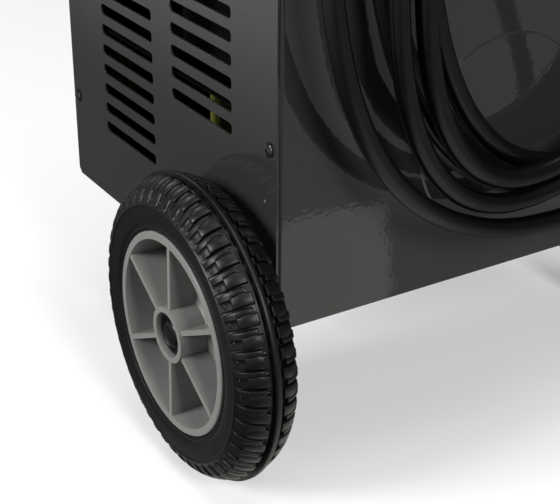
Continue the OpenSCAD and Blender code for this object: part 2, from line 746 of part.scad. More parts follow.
// Draws something about Z at the gland, pointing back, with z = 0 on the panel's face
module at_gland() translate([-gland_x, half_d, gland_z]) rotate([-90, 0, 0]) children();

module cable_gland() color(black_plastic) at_gland() difference() {
    union() {
        translate([0, 0, -sheet - 12]) cylinder(r = gland_r, h = sheet + 12 + past);
        cylinder(d = nut_flat / cos(30), h = gland_hex, $fn = 6);
        translate([0, 0, gland_hex]) cylinder(r1 = nut_flat / 2 - 1, r2 = nut_flat / 2 - 4,
            h = gland_dome);
    }
    translate([0, 0, -sheet - 12 - past])
        cylinder(r = lead_hole, h = sheet + 12 + gland_hex + gland_dome + 2 * past);
}

module gland_locknut() color(black_plastic) at_gland()
    translate([0, 0, -sheet - 6]) difference() {
        cylinder(d = (nut_flat + 3) / cos(30), h = 6, $fn = 6);
        translate([0, 0, -past]) cylinder(r = gland_r + seat, h = 6 + 2 * past);
    }

module strain_relief() color(rubber) at_gland()
    translate([0, 0, gland_hex + gland_dome]) difference() {
        cylinder(r1 = nut_flat / 2 - 5, r2 = cable_d / 2 + 1.5, h = relief_l);
        translate([0, 0, -past]) cylinder(r = lead_hole, h = relief_l + 2 * past);
    }

// The lead's run inside the cabinet, from the gland down to the terminal block
inner_turn_y = half_d - sheet - 20;
block_w = 40;
block_d = 21;
block_h = 24;
block_y = (fan_d + block_d) / 2 + 1.5;
inner_bend = inner_turn_y - block_y;

module inner_lead() color(rubber) {
    translate([-gland_x, inner_turn_y, gland_z]) rotate([-90, 0, 0])
        cylinder(d = cable_d, h = half_d + gland_reach - inner_turn_y);
    translate([-gland_x, inner_turn_y, gland_z - inner_bend]) rotate([0, -90, 0])
        rotate([180, 0, 0]) rotate_extrude(angle = 90) translate([inner_bend, 0])
            circle(d = cable_d);
    translate([-gland_x, block_y, deck_z + block_h])
        cylinder(d = cable_d, h = gland_z - inner_bend - deck_z - block_h);
}

module terminal_block() color(black_plastic)
    translate([-gland_x, block_y, deck_z + block_h / 2]) difference() {
        cube([block_w, block_d, block_h], center = true);
        for (i = [-1 : 1]) translate([i * block_w * 0.3, 0, 0]) rotate([90, 0, 0])
            cylinder(r = 2.4, h = block_d + 2 * past, center = true);
    }

saddle_t = 2;
saddle_deep = 46.5;
// The saddle's top lies just under the lowest strands, which sag a little between its edges
saddle_z = bottom_z + hang_h - cable_d / 2 - 1.2 - saddle_r;
saddle_plate_h = 30;
saddle_screws = [for (s = [-1, 1], z = [saddle_z - 12, saddle_z + saddle_r / 2])
    [s * (z < saddle_z ? saddle_r - 9 : saddle_r / 2), z]];

module saddle_outline(r) {
    intersection() {
        circle(r);
        translate([-r, 0]) square([2 * r, r]);
    }
}

module cable_saddle() color(black_steel) translate([0, 0, saddle_z]) difference() {
    union() {
        // Half round shelf
        facing(half_d, saddle_deep) difference() {
            saddle_outline(saddle_r);
            saddle_outline(saddle_r - saddle_t);
        }
        // Back plate
        facing(half_d, saddle_t) {
            saddle_outline(saddle_r);
            translate([-saddle_r, -saddle_plate_h]) square([2 * saddle_r, saddle_plate_h]);
        }
        // Lip
        facing(half_d + saddle_deep - saddle_t, saddle_t) difference() {
            saddle_outline(saddle_r + lip_h);
            saddle_outline(saddle_r - saddle_t);
            for (s = [-1, 1]) translate([s * (saddle_r + lip_h), 0])
                square([2 * lip_h, 2 * (saddle_r + lip_h) * 0.62], center = true);
        }
    }
    for (p = saddle_screws) translate([p[0], half_d - past, p[1] - saddle_z]) rotate([-90, 0, 0])
        cylinder(r = screw_r + fit, h = saddle_t + 2 * past);
}

plug_top = tail_path[len(tail_path) - 1];
plug_l = 62;
pin_gap = 19;

module plug_body() color(rubber) translate(plug_top) rotate([180, 0, 0]) {
    rotate_extrude() polygon([[0, 0], [cable_d / 2 + 1, 0], [cable_d / 2 + 3, 22], [15, 27],
        [19, 36], [19, plug_l], [0, plug_l]]);
    for (s = [-1, 1]) translate([s * 15, -6, 36]) cube([6, 12, plug_l - 40]);
}

module plug_pins() color(zinc) for (s = [-1, 1])
    translate(plug_top - [s * pin_gap / 2, 0, plug_l]) rotate([180, 0, 0]) {
        cylinder(r = 2.4, h = 17);
        translate([0, 0, 17]) cylinder(r1 = 2.4, r2 = 1.2, h = 2);
    }

// ---------------------------------------------------------------- air path

fan_x = fan_d / 2 + 2.5;
case_t = 1.2;
eye_r = 24;
horn_r = 18;
horn_x = fan_x - fan_d / 2 + horn_r + 6;
case_top = deck_z + fan_h;
shaft_r = 4;
bearing_r = 11;
bearing_h = 7;
motor_t = 3;
motor_top = case_top + motor_h;

module pair() for (s = [0, 1]) mirror([s, 0, 0]) children();

// Shelf that carries the fans, with a hanger for each filter across its air hole
module motor_deck() color(grey_steel) {
    w = 2 * (inner_w - sheet - seat);
    d = 2 * (half_d - sheet - seat);
    edge = 16;
    translate([0, 0, deck_z - sheet]) difference() {
        translate([-w / 2, -d / 2, -edge]) cube([w, d, edge + sheet]);
        translate([-w / 2 - past, sheet - d / 2, -edge - past])
            cube([w + 2 * past, d - 2 * sheet, edge + past]);
        translate([0, 0, -past]) pair() translate([fan_x, 0, 0]) difference() {
            cylinder(r = eye_r, h = sheet + 2 * past);
            translate([-eye_r, -5, 0]) cube([2 * eye_r, 10, sheet + 2 * past]);
        }
        for (s = [-1, 1]) translate([s * (w / 2 - flange), 0, 0]) for (e = [-1, 1])
            translate([0, e * d / 2, 0]) translate([s * flange / 2, 0, 0])
                cube([flange + 2 * seat, 2 * flange, 4 * edge], center = true);
    }
}

module fan_case() translate([fan_x, 0, deck_z]) difference() {
    union() {
        cylinder(d = fan_d, h = fan_h);
        translate([horn_x - fan_x, 0, fan_h / 2]) rotate([90, 0, 0])
            cylinder(r = horn_r, h = half_d - sheet - manifold_d - seat);
    }
    translate([0, 0, case_t]) cylinder(r = fan_d / 2 - case_t, h = fan_h - 2 * case_t);
    translate([0, 0, -past]) cylinder(r = eye_r, h = case_t + 2 * past);
    translate([0, 0, fan_h - case_t - past]) cylinder(r = bearing_r - 2, h = case_t + 2 * past);
    translate([horn_x - fan_x, 0, fan_h / 2]) rotate([90, 0, 0])
        cylinder(r = horn_r - case_t, h = half_d);
}

module right_fan_case() color(alloy) fan_case();

module left_fan_case() color(alloy) mirror([1, 0, 0]) fan_case();

// Motor shell with a bearing seat at each end, cooling windows and its field ring inside
module motor_shell() translate([fan_x, 0, case_top]) difference() {
    union() {
        difference() {
            cylinder(d = motor_d, h = motor_h);
            translate([0, 0, motor_t]) cylinder(r = motor_d / 2 - motor_t, h = motor_h - 2 * motor_t);
        }
        for (z = [0, motor_h - bearing_h - 2]) translate([0, 0, z])
            cylinder(r = bearing_r + 3, h = bearing_h + 2);
        translate([0, 0, 22]) difference() {
            cylinder(r = motor_d / 2 - motor_t / 2, h = 40);
            translate([0, 0, -past]) cylinder(r = armature_r + 1, h = 40 + 2 * past);
        }
    }
    translate([0, 0, -past]) cylinder(r = bearing_r + run, h = bearing_h + past);
    translate([0, 0, motor_h - bearing_h]) cylinder(r = bearing_r + run, h = bearing_h + past);
    cylinder(r = shaft_r + 2, h = motor_h);
    for (a = [0 : 45 : 359]) rotate([0, 0, a]) translate([motor_d / 2, 0, motor_h - 17])
        cube([20, 16, 12], center = true);
}

module right_motor_shell() color(black_steel) motor_shell();

module left_motor_shell() color(black_steel) mirror([1, 0, 0]) motor_shell();

module motor_bearings() color(zinc) pair() for (z = [case_top, motor_top - bearing_h])
    translate([fan_x, 0, z]) difference() {
        cylinder(r = bearing_r, h = bearing_h);
        translate([0, 0, -past]) cylinder(r = shaft_r + run, h = bearing_h + 2 * past);
    }

armature_r = 24;
wheel_h = fan_h - 22;
wheel_low = deck_z + case_t + 5;

// Shaft, armature and commutator
module rotor() translate([fan_x, 0, 0]) {
    translate([0, 0, wheel_low]) cylinder(r = shaft_r, h = motor_top - wheel_low + 2);
    translate([0, 0, case_top + 23]) cylinder(r = armature_r, h = 38);
    translate([0, 0, case_top + 63]) cylinder(r = 12, h = 14);
}

module right_rotor() color(zinc) rotor();

module left_rotor() color(zinc) mirror([1, 0, 0]) rotor();

// Curved blades between a hub disc above and a shroud ring below
module fan_wheel() translate([fan_x, 0, wheel_low]) {
    disc_t = 1.5;
    blade_r = 0.62 * wheel_d / 2;
    difference() {
        union() {
            translate([0, 0, wheel_h - disc_t]) cylinder(d = wheel_d, h = disc_t);
            difference() {
                cylinder(d = wheel_d, h = disc_t);
                translate([0, 0, -past]) cylinder(r = eye_r - 2, h = disc_t + 2 * past);
            }
            translate([0, 0, wheel_h - 12]) cylinder(r = 9, h = 12);
            for (i = [0 : blades - 1]) rotate([0, 0, i * 360 / blades]) intersection() {
                translate([blade_r, -blade_r * 0.75, 0]) difference() {
                    cylinder(r = blade_r, h = wheel_h);
                    translate([0, 0, -past]) cylinder(r = blade_r - 1.2, h = wheel_h + 2 * past);
                }
                difference() {
                    cylinder(d = wheel_d - 1, h = wheel_h);
                    translate([0, 0, -past]) cylinder(r = eye_r, h = wheel_h + 2 * past);
                    translate([-wheel_d, -2 * wheel_d, -past]) cube([2 * wheel_d, 2 * wheel_d, wheel_h + 2 * past]);
                }
            }
        }
        translate([0, 0, -past]) cylinder(r = shaft_r + 0.01, h = wheel_h + 2 * past);
    }
}

module right_fan_wheel() color(alloy) fan_wheel();

module left_fan_wheel() color(alloy) mirror([1, 0, 0]) fan_wheel();

// One pleated ring, folded in and out round the filter
module pleat_outline(r, deep) polygon([for (i = [0 : 2 * pleats - 1])
    let (a = 180 * i / pleats) (i % 2 == 0 ? r : r - deep) * [cos(a), sin(a)]]);

module filter_cartridges() color(filter_paper) pair()
    translate([fan_x, 0, filter_low + filter_cap_h]) linear_extrude(filter_h) difference() {
        pleat_outline(filter_d / 2, 12);
        pleat_outline(filter_d / 2 - 2, 12);
    }

module filter_caps() color(rubber) pair() translate([fan_x, 0, filter_low]) {
    difference() {
        cylinder(d = filter_d + 4, h = filter_cap_h);
        translate([0, 0, -past]) cylinder(r = stud_r + seat, h = filter_cap_h + 2 * past);
    }
    translate([0, 0, filter_cap_h + filter_h]) difference() {
        cylinder(d = filter_d + 4, h = filter_cap_h);
        translate([0, 0, -past]) cylinder(r = eye_r + 2, h = filter_cap_h + 2 * past);
    }
}

stud_r = 3;

// Hanging studs with the wing nuts that hold the filters up
module filter_studs() color(zinc) pair() translate([fan_x, 0, 0]) {
    translate([0, 0, bottom_z + sheet + 0.5])
        cylinder(r = stud_r, h = deck_z - sheet - bottom_z - sheet - 0.5);
    translate([0, 0, filter_low - 5]) cylinder(r = 6, h = 5);
    for (s = [-1, 1]) translate([s * 9, 0, filter_low - 4]) cube([10, 2.4, 7], center = true);
}

// Box that joins the two fans' horns behind the hose spigot
manifold_d = 50;
manifold_h = 2 * horn_r + 12;
manifold_w = 2 * (horn_x + horn_r + 8);

module outlet_manifold() color(black_plastic)
    translate([0, sheet - half_d, horn_z]) difference() {
        translate([-manifold_w / 2, 0, -manifold_h / 2]) cube([manifold_w, manifold_d, manifold_h]);
        translate([2 - manifold_w / 2, 2, 2 - manifold_h / 2])
            cube([manifold_w - 4, manifold_d - 4, manifold_h - 4]);
        rotate([-90, 0, 0]) translate([0, 0, -past]) cylinder(d = spigot_d - 4, h = 4 + past);
        pair() translate([horn_x, manifold_d / 2, 0]) rotate([-90, 0, 0])
            cylinder(r = horn_r - case_t, h = manifold_d);
        for (a = [45 : 90 : 359]) translate([spigot_bolt_r * cos(a), 0, spigot_bolt_r * sin(a)])
            rotate([90, 0, 0]) cylinder(r = screw_r + seat, h = 2 * manifold_d, center = true);
    }

foot = 1.5;

module hose_spigot() color(black_plastic) translate([0, -half_d, spigot_z]) rotate([90, 0, 0])
    difference() {
        union() {
            linear_extrude(front_plate_t) difference() {
                rounded(spigot_d + 32, spigot_d + 32, 8);
                for (a = [45 : 90 : 359]) translate(spigot_bolt_r * [cos(a), sin(a)])
                    circle(screw_r + fit);
            }
            cylinder(d = spigot_d, h = spigot_l);
            translate([0, 0, -sheet]) cylinder(d = spigot_d - 1, h = sheet + past);
            // Chamfered foot
            translate([0, 0, front_plate_t])
                cylinder(r1 = spigot_d / 2 + foot, r2 = spigot_d / 2, h = foot);
        }
        translate([0, 0, -sheet - past]) cylinder(d = spigot_d - 4, h = spigot_l + sheet + 2 * past);
    }

// ---------------------------------------------------------------- controls

rocker_w = 18;
rocker_l = 26;
rocker_t = 5;
rocker_x = 24;
switch_deep = 24;
pivot_r = 1.5;
lamp_r = 6;
button_r = 4.5;
button_x = 50;

// Draws something at the control plate's front face, with z = 0 on the face and z outwards
module at_plate(x, z = 0) translate([x, -half_d - front_plate_t, plate_z + z])
    rotate([90, 0, 0]) children();

module control_plate() color(black_plastic) difference() {
    at_plate(0) translate([0, 0, -front_plate_t]) linear_extrude(front_plate_t) difference() {
        rounded(plate_w, plate_h, 6);
        for (s = [-1, 1]) translate([s * rocker_x, 0])
            square([rocker_w + 4 + fit, rocker_l + 4 + fit], center = true);
        translate([-button_x, 0]) circle(button_r + 2 + seat);
        translate([button_x, 0]) circle(lamp_r + seat);
        for (x = [-1, 1], z = [-1, 1]) translate([x * (plate_w / 2 - 5), z * (plate_h / 2 - 5)])
            circle(screw_r + fit);
    }
}

// Open boxes that the rockers turn in, and the bush of the reset button
module switch_bodies() color(black_plastic) {
    for (s = [-1, 1]) at_plate(s * rocker_x) difference() {
        union() {
            translate([0, 0, -switch_deep]) linear_extrude(switch_deep)
                square([rocker_w + 4, rocker_l + 4], center = true);
            linear_extrude(1.5) rounded(rocker_w + 8, rocker_l + 8, 2);
        }
        translate([0, 0, 3 - switch_deep]) linear_extrude(switch_deep + 3)
            square([rocker_w + 2 * fit, rocker_l + 2 * fit], center = true);
        translate([0, 0, -2]) rotate([0, 90, 0])
            cylinder(r = pivot_r + run, h = rocker_w + 4 - 1, center = true);
    }
    at_plate(-button_x) difference() {
        union() {
            translate([0, 0, -18]) cylinder(r = button_r + 2, h = 18 + past);
            cylinder(r = button_r + 4, h = 2);
        }
        translate([0, 0, -14]) cylinder(r = button_r + run, h = 18 + 2 * past);
    }
}

// Rocker with two flats that meet over its pivot, drawn pressed in at the bottom
module rocker(x) at_plate(x) translate([0, 0, -2]) rotate([rocker_turn / 2, 0, 0]) {
    tilt = rocker_turn / 2;
    rotate([90, 0, 90]) linear_extrude(rocker_w - 1, center = true) intersection() {
        circle(rocker_l / 2 - 0.2);
        polygon([[-rocker_l, -5], [rocker_l, -5], [rocker_l, rocker_t - rocker_l * tan(tilt)],
            [0, rocker_t], [-rocker_l, rocker_t - rocker_l * tan(tilt)]]);
    }
    rotate([0, 90, 0]) cylinder(r = pivot_r, h = rocker_w + 4 - 1.4, center = true);
}

module right_rocker() color("darkred") rocker(rocker_x);

module left_rocker() color("darkred") rocker(-rocker_x);

module reset_button() color("red") at_plate(-button_x) translate([0, 0, -6]) {
    cylinder(r = button_r, h = 6 + 4);
    translate([0, 0, 10]) cylinder(r1 = button_r, r2 = button_r - 1, h = 1);
}

module pilot_lamp() color("green") at_plate(button_x) {
    translate([0, 0, -16]) cylinder(r = lamp_r, h = 16 + past);
    rotate_extrude() intersection() {
        translate([0, -6]) circle(10);
        square([lamp_r + 2, 4]);
    }
}

base_pan();
rear_panel();
front_panel();
right_side_panel();
left_side_panel();
top_cover();
panel_screws();
corner_rivets();
axle();
axle_brackets();
axle_spacers();
axle_caps();
right_rim();
right_tyre();
right_bush();
left_rim();
left_tyre();
left_bush();
right_leg();
left_leg();
rubber_feet();
frame_bolts();
push_handle();
handle_grip();
handle_bolts();
handle_spacers();
tube_plugs();
cable_saddle();
cable_gland();
gland_locknut();
strain_relief();
inner_lead();
terminal_block();
cable_lead();
cable_loops();
cable_tail();
plug_body();
plug_pins();
motor_deck();
right_fan_case();
left_fan_case();
right_motor_shell();
left_motor_shell();
motor_bearings();
right_rotor();
left_rotor();
right_fan_wheel();
left_fan_wheel();
filter_cartridges();
filter_caps();
filter_studs();
outlet_manifold();
hose_spigot();
control_plate();
switch_bodies();
right_rocker();
left_rocker();
reset_button();
pilot_lamp();
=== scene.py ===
"""A trolley air blower for drying cars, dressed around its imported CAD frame. Metres throughout."""

import json
import math

import bmesh
import bpy
from mathutils import Matrix, Vector


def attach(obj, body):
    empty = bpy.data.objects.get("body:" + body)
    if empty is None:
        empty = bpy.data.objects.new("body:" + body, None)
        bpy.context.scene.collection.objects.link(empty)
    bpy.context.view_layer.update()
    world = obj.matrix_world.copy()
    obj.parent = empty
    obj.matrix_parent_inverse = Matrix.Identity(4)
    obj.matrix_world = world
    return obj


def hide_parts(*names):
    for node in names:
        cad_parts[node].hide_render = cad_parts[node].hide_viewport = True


MM = 0.001
HALF_W = 0.175
HALF_D = 0.15
BOTTOM = 0.12
WHEEL_X = 0.2028
AXLE_Y = 0.096
AXLE_Z = 0.106

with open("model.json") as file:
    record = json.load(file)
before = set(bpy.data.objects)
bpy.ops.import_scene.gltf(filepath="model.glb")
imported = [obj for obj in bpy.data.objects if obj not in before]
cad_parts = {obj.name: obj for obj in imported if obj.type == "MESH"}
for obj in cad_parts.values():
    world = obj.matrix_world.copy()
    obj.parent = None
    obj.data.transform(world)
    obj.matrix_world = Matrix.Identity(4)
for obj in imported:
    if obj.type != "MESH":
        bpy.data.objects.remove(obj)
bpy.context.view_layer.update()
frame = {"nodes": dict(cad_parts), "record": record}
nodes = frame["nodes"]


# ------------------------------------------------------------ camera

def add_camera():
    """The camera stands behind the machine's right side, a little above the lid."""
    data = bpy.data.cameras.new("camera")
    data.lens = 86.05
    data.shift_x = 0.0019
    data.shift_y = 0.0018
    data.clip_end = 50
    camera = bpy.data.objects.new("camera", data)
    camera.location = (0.5612, 0.7736, 0.5483)
    camera.rotation_euler = (1.10154, -0.00655, 2.58814)
    bpy.context.collection.objects.link(camera)
    bpy.context.scene.camera = camera


# ------------------------------------------------------------ supply cable

CABLE_D = 0.0135
FRONT_LAYER = 37
BACK_LAYER = 22
LOOP_RIGHT = (175, 111.5, 96, 112, 148)
LOOP_LEFT = (155, 132, 87, 110, 150)
LOOP_DRIFT = (-17, 15, 9, -39, -42, 0)
LOOP_LOW = (46.5, 69, 84.5, 81, 65, 70)
LOOP_LAYER = (FRONT_LAYER, FRONT_LAYER, FRONT_LAYER, BACK_LAYER, BACK_LAYER, BACK_LAYER)
LOOP_PILE = (2, 1, 0, 0, 1)
HANG_H = 455
PILE_STEP = 14.5
ROUND_END = 0.04
GLAND_NOSE = (-62, 34, 215)
LEAD_ROUTE = ((-62, 47, 215), (-62, 62, 213), (-64, 79, 205), (-68, 91, 191), (-73, 97, 173),
              (-80, 99, 152), (-88, 97, 131), (-94, 93, 110), (-96, 87, 90), (-92, 78, 72),
              (-82, 66, 58), (-68, 54, 50), (-55, 43, 46.8), (-43, 37, 46.5))
TAIL_ROUTE = ((-150, 22, 238), (-150, 23.5, 214), (-149.5, 26.5, 190), (-148.5, 30, 166),
              (-147, 33, 144), (-146, 34, 126), (-146, 34, 112))


def at_back(point):
    """A point in the machine's frame, from millimetres sideways, back from the rear panel and up."""
    x, back, up = point
    return Vector((x * MM, HALF_D + back * MM, BOTTOM + up * MM))


def loop_point(k, angle):
    """A point of loop k: 0 degrees is its bottom, 90 its right, 180 its top, 270 its left."""
    n = k if angle <= 180 else k + 1
    wide = LOOP_RIGHT[k] if angle <= 180 else LOOP_LEFT[k]
    high, low = HANG_H + LOOP_PILE[k] * PILE_STEP, LOOP_LOW[n]
    a = math.radians(angle)
    up = (high + low) / 2 - (high - low) / 2 * math.cos(a)
    across = (math.sin(a) + ROUND_END * math.sin(3 * a)) / (1 - ROUND_END)
    t = min(max((angle - 180) / 90 - 0.5, 0), 1)
    back = LOOP_LAYER[k] + t * t * (3 - 2 * t) * (LOOP_LAYER[n] - LOOP_LAYER[k])
    return at_back((LOOP_DRIFT[n] * (high - up) / (high - low) + wide * across, back, up))


def cable_route(step):
    """The whole cable, from the gland's nose through its loops to the plug."""
    coil = [loop_point(k, a) for k in range(4) for a in range(0, 360, step)]
    coil += [loop_point(4, a) for a in range(0, 271, step)]
    ends = Vector((CABLE_D, 0, 0)), Vector((0, 0, CABLE_D))
    return ([at_back(GLAND_NOSE)] + [at_back(p) for p in LEAD_ROUTE] + [coil[0] - ends[0]]
            + coil + [coil[-1] - ends[1]] + [at_back(p) for p in TAIL_ROUTE])


def add_cable():
    """One smooth round cable along the whole route, and the points that it follows."""
    route = cable_route(10)
    data = bpy.data.curves.new("supply_cable", "CURVE")
    data.dimensions = "3D"
    data.bevel_depth = CABLE_D / 2
    data.bevel_resolution = 5
    data.resolution_u = 4
    data.use_fill_caps = True
    spline = data.splines.new("BEZIER")
    spline.bezier_points.add(len(route) - 1)
    for knot, place in zip(spline.bezier_points, route):
        knot.co = place
        knot.handle_left_type = knot.handle_right_type = "AUTO"
    cable = bpy.data.objects.new("supply_cable", data)
    bpy.context.collection.objects.link(cable)
    return cable, route


# ------------------------------------------------------------ modelling

def deselect():
    if bpy.context.mode != "OBJECT":
        bpy.ops.object.mode_set(mode="OBJECT")
    bpy.ops.object.select_all(action="DESELECT")


def only(piece):
    """Makes a piece the one thing that the next operators act on."""
    deselect()
    piece.select_set(True)
    bpy.context.view_layer.objects.active = piece


def begin(kind, name, **place):
    """A primitive at its size and place, with the place taken into its mesh."""
    deselect()
    getattr(bpy.ops.mesh, f"primitive_{kind}_add")(**place)
    piece = bpy.context.object
    piece.name = piece.data.name = name
    bpy.ops.object.transform_apply(location=True, rotation=True, scale=True)
    return piece


def choose(piece, test):
    """Goes into edit mode with the faces selected whose middle and normal pass the test."""
    only(piece)
    bpy.ops.object.mode_set(mode="EDIT")
    bpy.ops.mesh.select_mode(type="FACE")
    bpy.ops.mesh.select_all(action="DESELECT")
    mesh = bmesh.from_edit_mesh(piece.data)
    for face in mesh.faces:
        face.select_set(bool(test(face.calc_center_median(), face.normal)))
    bmesh.update_edit_mesh(piece.data)


def finish_with(piece, kind, **settings):
    """Adds a modifier and applies it."""
    only(piece)
    modifier = piece.modifiers.new(kind.lower(), kind)
    for name, value in settings.items():
        setattr(modifier, name, value)
    bpy.ops.object.modifier_apply(modifier=modifier.name)


def cleaned(piece):
    """Merges doubles and turns every face outwards."""
    only(piece)
    bpy.ops.object.mode_set(mode="EDIT")
    bpy.ops.mesh.select_all(action="SELECT")
    bpy.ops.mesh.remove_doubles(threshold=0.000004)
    bpy.ops.mesh.normals_make_consistent(inside=False)
    bpy.ops.object.mode_set(mode="OBJECT")
    return piece


def smoothed(piece, angle=35):
    only(piece)
    bpy.ops.object.shade_smooth_by_angle(angle=math.radians(angle))
    return piece


def softened(node, width, segments=2, angle=32):
    """A copy of a CAD node whose edges are rounded, as a press, a brake or a mould leaves them."""
    deselect()
    piece = nodes[node].copy()
    piece.data = nodes[node].data.copy()
    piece.name = piece.data.name = node + "_soft"
    bpy.context.collection.objects.link(piece)
    only(piece)
    bpy.ops.object.mode_set(mode="EDIT")
    bpy.ops.mesh.select_all(action="SELECT")
    bpy.ops.mesh.remove_doubles(threshold=0.000004)
    bpy.ops.mesh.dissolve_limited(angle_limit=math.radians(0.6))
    bpy.ops.object.mode_set(mode="OBJECT")
    finish_with(piece, "BEVEL", width=width * MM, segments=segments, limit_method="ANGLE",
                angle_limit=math.radians(angle), use_clamp_overlap=True)
    smoothed(piece, 38)
    finish_with(piece, "WEIGHTED_NORMAL", weight=100, keep_sharp=True)
    return piece


def copied(piece, name, place):
    """A second one of a piece, with its own mesh, moved by a matrix."""
    other = bpy.data.objects.new(name, piece.data.copy())
    other.data.name = name
    other.data.transform(place)
    bpy.context.collection.objects.link(other)
    return other


def joined(pieces, name):
    deselect()
    for piece in pieces:
        piece.select_set(True)
    bpy.context.view_layer.objects.active = pieces[0]
    bpy.ops.object.join()
    pieces[0].name = pieces[0].data.name = name
    return pieces[0]


def interpolated(table, value):
    """The value of a table of (at, value) pairs, straight between them."""
    if value <= table[0][0]:
        return table[0][1]
    for (a, low), (b, high) in zip(table, table[1:]):
        if value <= b:
            return low + (high - low) * (value - a) / (b - a)
    return table[-1][1]


# ------------------------------------------------------------ tyres

LUGS = 49
CROWN = 105.4
# The middle rib: its top, its half width, and how far it leans outwards, gone at RIB_LEAN_END
RIB_TOP, RIB_HALF, RIB_LEAN, RIB_LEAN_END = 105.3, 1.8, 0.4, 17
TREAD_DEEP, SIPE_DEEP, PANEL_DEEP = 4.0, 1.5, 1.1
# The grooves start this far from the rib's middle
GROOVES_FROM = 3
# The tread's round outline: an ellipse about this height, with these half sizes
TREAD_BASE, TREAD_HALF_W, TREAD_RISE = 86.6, 21.5, 16.9
PITCH = 2 * math.pi * CROWN / LUGS
# Where each half's grooves lie, in degrees from straight back, turning upwards
GROOVE_AT = {1: 5.2, -1: 3.9}
# Along one pitch, in millimetres from the middle of a groove: bar, sipe and block
ARCS = (0, 0.85, 1.0, 1.1, 1.2, 1.45, 3.2, 5.0, 5.2, 5.3, 5.475, 5.65, 5.75, 5.95, 9.0, 12.05,
        12.3, 12.4, 12.5, 12.65)
GROOVE = ((0.85, 1), (1.0, 0.93), (1.1, 0.15), (1.2, 0.04), (1.45, 0), (12.05, 0), (12.3, 0.04),
          (12.4, 0.15), (12.5, 0.93), (12.65, 1))
NOTCH = ((5.0, 1), (5.2, 0.93), (5.3, 0.15), (5.475, 0.04), (5.65, 0))
SIPE = ((5.0, 0), (5.2, 0.1), (5.3, 0.4), (5.475, 1), (5.65, 0.4), (5.75, 0.1), (5.95, 0))
PANEL = ((5.65, 0), (5.95, 1))
# Columns in this span follow the sipe's wave whole, and those in the wider one follow half of it
SIPE_CORE, SIPE_PULL = (4.9, 6), (3, 9.5)
# Across the tread, in millimetres from the middle of the rib
CHANNEL = ((1.4, 0), (1.65, 0.15), (1.75, 0.6), (1.9, 3.7), (2.1, 4), (4.2, 4), (4.45, 3.7),
           (4.6, 0.6), (4.7, 0.15), (4.95, 0))
NOTCH_END = ((7.0, 1), (7.2, 0.93), (7.35, 0.15), (7.45, 0.04), (7.7, 0))
SIPE_RUN = ((6.9, 0), (8.0, 1), (16.0, 1), (17.3, 0))
SIPE_WAVE = ((7.0, 0), (9.2, 1.0), (11.0, 1.35), (13.2, 1.0), (15.2, 0.35), (17.1, 0))
PANEL_STEP = ((16.9, 0), (17.1, 0.1), (17.35, 0.85), (17.5, 1))
ACROSS = (0, 1.4, 1.65, 1.75, 1.9, 2.1, 3.1, 4.2, 4.45, 4.6, 4.7, 4.95, 6.0, 7.0, 7.2, 7.35,
          7.45, 7.7, 9.2, 11.0, 13.2, 15.2, 16.9, 17.1, 17.35, 17.5)
# Down the shoulder: turn from the crown in degrees, groove depth and how far the panel is let in
SHOULDER = ((60, 3.3, 1), (67, 2.8, 1), (74, 2.0, 1), (79, 1.2, 0.8))
# The ridge that ends the tread, the sidewall, the bead's line and the bead: place and groove depth
SIDEWALL = ((21.25, 88.3, 0.5), (21.55, 87.75, 0.1), (21.95, 87.4, 0), (22.1, 87.05, 0),
            (22.1, 86.35, 0), (21.95, 86.0, 0), (21.65, 85.75, 0), (21.6, 85.0, 0),
            (21.5, 80.5, 0), (20.95, 75.8, 0), (20.6, 73.6, 0), (20.1, 73.2, 0),
            (20.05, 72.5, 0), (20.3, 72.1, 0), (19.95, 70.4, 0), (19.1, 69.3, 0))
SIDEWALL_NORMAL = (0.9, 0.43)
# What the rows past the tread's own count as across it
PAST_TREAD = 18.0
# A nub on each shoulder block: place across, height, arc from the groove, radius and stretch
NUB_X, NUB_UP, NUB_ARC, NUB_R = 18.9, 90.6, 9.0, 1.0
NUB_STRETCH = (1.35, 1.15, 2.5, 1)


def tread_rows():
    """Rows from the rib to the bead: distance out, section point, normal, groove and panel."""
    rows = []
    turns = [math.asin(out / TREAD_HALF_W) for out in ACROSS]
    turns += [math.radians(turn) for turn, _, _ in SHOULDER]
    for k, turn in enumerate(turns):
        out, groove, panel = ((ACROSS[k], TREAD_DEEP, None) if k < len(ACROSS)
                              else (PAST_TREAD, *SHOULDER[k - len(ACROSS)][1:]))
        normal = Vector((math.sin(turn) / TREAD_HALF_W, math.cos(turn) / TREAD_RISE)).normalized()
        up = TREAD_BASE + TREAD_RISE * math.cos(turn)
        if out < RIB_HALF:
            up = RIB_TOP
        rows.append((out, TREAD_HALF_W * math.sin(turn), up, *normal, groove, panel))
    rows += [(PAST_TREAD, x, up, *SIDEWALL_NORMAL, deep, 0) for x, up, deep in SIDEWALL]
    return rows


def tread_depth(along, row):
    """How far the tread lies under its outline here, from its grooves, sipes and steps."""
    out, _, _, _, _, groove, panel = row
    grooved = out > GROOVES_FROM
    deep = groove * interpolated(GROOVE, along) * grooved
    if panel is None:
        notch = TREAD_DEEP * interpolated(NOTCH, along) * interpolated(NOTCH_END, out) * grooved
        sipe = SIPE_DEEP * interpolated(SIPE, along) * interpolated(SIPE_RUN, out)
        deep = max(deep, interpolated(CHANNEL, out), notch, sipe)
    step = interpolated(PANEL_STEP, out) if panel is None else panel
    return max(deep, PANEL_DEEP * interpolated(PANEL, along) * step)


def sipe_shift(along, out):
    """The sipe's wave, and half of it in the columns on each side."""
    if not SIPE_PULL[0] < along < SIPE_PULL[1]:
        return 0.0
    return interpolated(SIPE_WAVE, out) * (1.0 if SIPE_CORE[0] < along < SIPE_CORE[1] else 0.5)


